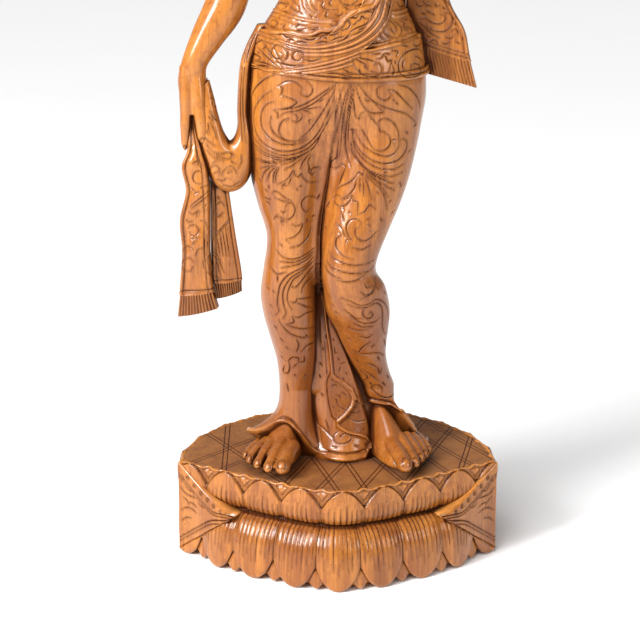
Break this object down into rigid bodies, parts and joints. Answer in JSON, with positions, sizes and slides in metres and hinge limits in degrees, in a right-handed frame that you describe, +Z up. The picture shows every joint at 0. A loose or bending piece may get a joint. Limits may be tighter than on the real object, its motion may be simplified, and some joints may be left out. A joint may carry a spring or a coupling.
{
  "type": "carved wooden figure",
  "caption": "Standing carved wooden lady in a wrapped skirt and long scarf, one arm lowered to hold the scarf's end, on a lotus-petal base.",
  "frame": {"origin": "middle of the base's underside", "axes": "+Z up the figure, -Y the way she faces, +X to the viewer's right"},
  "size_m": [0.3296, 0.2776, 0.8851],
  "materials": {
    "wood": "gloss varnish"
  },
  "bodies": {
    "root": {"carved_figure": "wood"}
  },
  "joints": []
}
